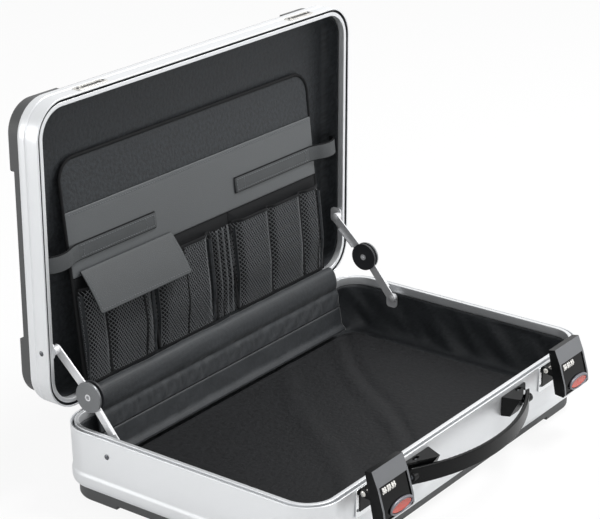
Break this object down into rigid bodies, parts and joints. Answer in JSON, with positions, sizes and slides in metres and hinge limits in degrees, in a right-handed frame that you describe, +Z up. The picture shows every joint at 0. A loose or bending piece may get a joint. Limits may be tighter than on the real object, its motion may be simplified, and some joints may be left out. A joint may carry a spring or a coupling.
{
  "type": "laptop hard case",
  "caption": "Aluminium framed laptop case with a hinged lid on folding stays, combination latches, a swinging handle and a fabric lining with a pocketed organiser panel.",
  "frame": {"origin": "centre of the whole open case's footprint, at the underside of its feet", "axes": "+X to the right along the width, +Y to the hinge side, +Z up"},
  "size_m": [0.4618, 0.3711, 0.3669],
  "materials": {
    "anodised_frame": "fine satin anodised extrusion",
    "moulded_shell": "matt grained moulding",
    "lining_cloth": "fine black woven lining",
    "binding": "ribbed woven binding",
    "net": "knitted diamond net",
    "leatherette": "smooth dark grey leatherette",
    "bright_steel": "bright zinc plated steel",
    "nickel": "polished nickel plate",
    "black_plastic": "semi gloss black moulding",
    "dark_plate": "black painted steel",
    "cover_black": "black moulding, glossy lower field",
    "button_red": "translucent red moulding",
    "dial_brass": "dark nickel number wheels"
  },
  "bodies": {
    "base": {"base_shell": "moulded_shell", "base_frame": "anodised_frame", "base_lining": "lining_cloth", "floor_pad": "lining_cloth", "base_hinge_leaf": "bright_steel", "hinge_pin": "bright_steel", "hinge_cover": "lining_cloth", "hinge_cover_skirt": "lining_cloth", "base_fasteners": "bright_steel", "latch_pins": "bright_steel", "base_stay_bracket_left": "nickel", "handle_bracket_left": "black_plastic", "latch_plate_left": "nickel", "latch_bracket_left": "dark_plate", "base_stay_bracket_right": "nickel", "handle_bracket_right": "black_plastic", "latch_plate_right": "nickel", "latch_bracket_right": "dark_plate"},
    "lid": {"lid_shell": "moulded_shell", "lid_frame": "anodised_frame", "lid_lining": "lining_cloth", "lid_hinge_leaf": "bright_steel", "lid_rivets": "bright_steel", "keeper_left": "nickel", "lid_stay_bracket_left": "nickel", "strap_left": "leatherette", "keeper_right": "nickel", "lid_stay_bracket_right": "nickel", "strap_right": "leatherette"},
    "organiser": {"organiser_panel": "lining_cloth", "organiser_band": "leatherette", "organiser_bindings": "binding", "pocket_left": "net", "pocket_middle": "net", "pocket_right": "net", "pocket_pleats": "lining_cloth"},
    "flap": {"pocket_flap": "leatherette"},
    "handle": {"handle": "black_plastic"},
    "stay_lower_left": {"stay_lower_arm_left": "nickel", "stay_outer_cap_left": "black_plastic"},
    "stay_upper_left": {"stay_upper_arm_left": "nickel", "stay_inner_cap_left": "black_plastic"},
    "latch_link_left": {"latch_link_left": "dark_plate"},
    "latch_cover_left": {"latch_cover_left": "cover_black", "latch_hook_left": "dark_plate"},
    "latch_button_left": {"latch_button_left": "button_red"},
    "dial_left_1": {"dial_left_1": "dial_brass"},
    "dial_left_2": {"dial_left_2": "dial_brass"},
    "dial_left_3": {"dial_left_3": "dial_brass"},
    "stay_lower_right": {"stay_lower_arm_right": "nickel", "stay_outer_cap_right": "black_plastic"},
    "stay_upper_right": {"stay_upper_arm_right": "nickel", "stay_inner_cap_right": "black_plastic"},
    "latch_link_right": {"latch_link_right": "dark_plate"},
    "latch_cover_right": {"latch_cover_right": "cover_black", "latch_hook_right": "dark_plate"},
    "latch_button_right": {"latch_button_right": "button_red"},
    "dial_right_1": {"dial_right_1": "dial_brass"},
    "dial_right_2": {"dial_right_2": "dial_brass"},
    "dial_right_3": {"dial_right_3": "dial_brass"}
  },
  "joints": [
    {"name": "lid_hinge", "type": "hinge", "parent": "base", "child": "lid", "pos_m": [0, 0.14385, 0.072], "axis": [1, 0, 0], "range_deg": [0, 90], "deforming": ["hinge_cover"]},
    {"name": "organiser_tilt", "type": "hinge", "parent": "lid", "child": "organiser", "pos_m": [0, 0.14384, 0.08544], "axis": [1, 0, 0], "range_deg": [0, 9], "deforming": ["strap_left", "strap_right"]},
    {"name": "flap_swing", "type": "hinge", "parent": "organiser", "child": "flap", "pos_m": [0, 0.15202, 0.19723], "axis": [1, 0, 0], "range_deg": [-75, 0]},
    {"name": "handle_swing", "type": "hinge", "parent": "base", "child": "handle", "pos_m": [0, -0.15705, 0.055], "axis": [1, 0, 0], "range_deg": [-8, 38]},
    {"name": "stay_lower_left", "type": "hinge", "parent": "base", "child": "stay_lower_left", "pos_m": [-0.2152, 0.07585, 0.06], "axis": [1, 0, 0], "range_deg": [-1, 108]},
    {"name": "stay_upper_left", "type": "hinge", "parent": "lid", "child": "stay_upper_left", "pos_m": [-0.2134, 0.14835, 0.1357], "axis": [1, 0, 0], "range_deg": [-139, 1]},
    {"name": "latch_link_left", "type": "hinge", "parent": "base", "child": "latch_link_left", "pos_m": [-0.153, -0.15535, 0.0688], "axis": [1, 0, 0], "range_deg": [0, 85], "stiffness_Nm_per_rad": 0.02, "springref_deg": -28.65},
    {"name": "latch_cover_left", "type": "hinge", "parent": "latch_link_left", "child": "latch_cover_left", "pos_m": [-0.153, -0.1695, 0.06756], "axis": [1, 0, 0], "range_deg": [-74, 1]},
    {"name": "latch_button_left", "type": "slide", "parent": "latch_cover_left", "child": "latch_button_left", "axis": [0, 0.9781, -0.2079], "range_m": [0, 0.0015], "stiffness_N_per_m": 400, "springref_m": -0.0008},
    {"name": "dial_left_1", "type": "hinge", "parent": "latch_cover_left", "child": "dial_left_1", "pos_m": [-0.1664, -0.16944, 0.07409], "axis": [1, 0, 0], "continuous": true},
    {"name": "dial_left_2", "type": "hinge", "parent": "latch_cover_left", "child": "dial_left_2", "pos_m": [-0.1596, -0.16944, 0.07409], "axis": [1, 0, 0], "continuous": true},
    {"name": "dial_left_3", "type": "hinge", "parent": "latch_cover_left", "child": "dial_left_3", "pos_m": [-0.1528, -0.16944, 0.07409], "axis": [1, 0, 0], "continuous": true},
    {"name": "stay_lower_right", "type": "hinge", "parent": "base", "child": "stay_lower_right", "pos_m": [0.2152, 0.07585, 0.06], "axis": [1, 0, 0], "range_deg": [-1, 108]},
    {"name": "stay_upper_right", "type": "hinge", "parent": "lid", "child": "stay_upper_right", "pos_m": [0.2134, 0.14835, 0.1357], "axis": [1, 0, 0], "range_deg": [-139, 1]},
    {"name": "latch_link_right", "type": "hinge", "parent": "base", "child": "latch_link_right", "pos_m": [0.153, -0.15535, 0.0688], "axis": [1, 0, 0], "range_deg": [0, 85], "stiffness_Nm_per_rad": 0.02, "springref_deg": -28.65},
    {"name": "latch_cover_right", "type": "hinge", "parent": "latch_link_right", "child": "latch_cover_right", "pos_m": [0.153, -0.1695, 0.06756], "axis": [1, 0, 0], "range_deg": [-74, 1]},
    {"name": "latch_button_right", "type": "slide", "parent": "latch_cover_right", "child": "latch_button_right", "axis": [0, 0.9781, -0.2079], "range_m": [0, 0.0015], "stiffness_N_per_m": 400, "springref_m": -0.0008},
    {"name": "dial_right_1", "type": "hinge", "parent": "latch_cover_right", "child": "dial_right_1", "pos_m": [0.1396, -0.16944, 0.07409], "axis": [1, 0, 0], "continuous": true},
    {"name": "dial_right_2", "type": "hinge", "parent": "latch_cover_right", "child": "dial_right_2", "pos_m": [0.1464, -0.16944, 0.07409], "axis": [1, 0, 0], "continuous": true},
    {"name": "dial_right_3", "type": "hinge", "parent": "latch_cover_right", "child": "dial_right_3", "pos_m": [0.1532, -0.16944, 0.07409], "axis": [1, 0, 0], "continuous": true}
  ],
  "couplings": [
    {"joint": "stay_lower_left", "follows": "lid_hinge", "ratio": 1.183},
    {"joint": "stay_upper_left", "follows": "lid_hinge", "ratio": -1.5254},
    {"joint": "latch_cover_left", "follows": "latch_link_left", "ratio": -0.85882},
    {"joint": "stay_lower_right", "follows": "lid_hinge", "ratio": 1.183},
    {"joint": "stay_upper_right", "follows": "lid_hinge", "ratio": -1.5254},
    {"joint": "latch_cover_right", "follows": "latch_link_right", "ratio": -0.85882}
  ]
}
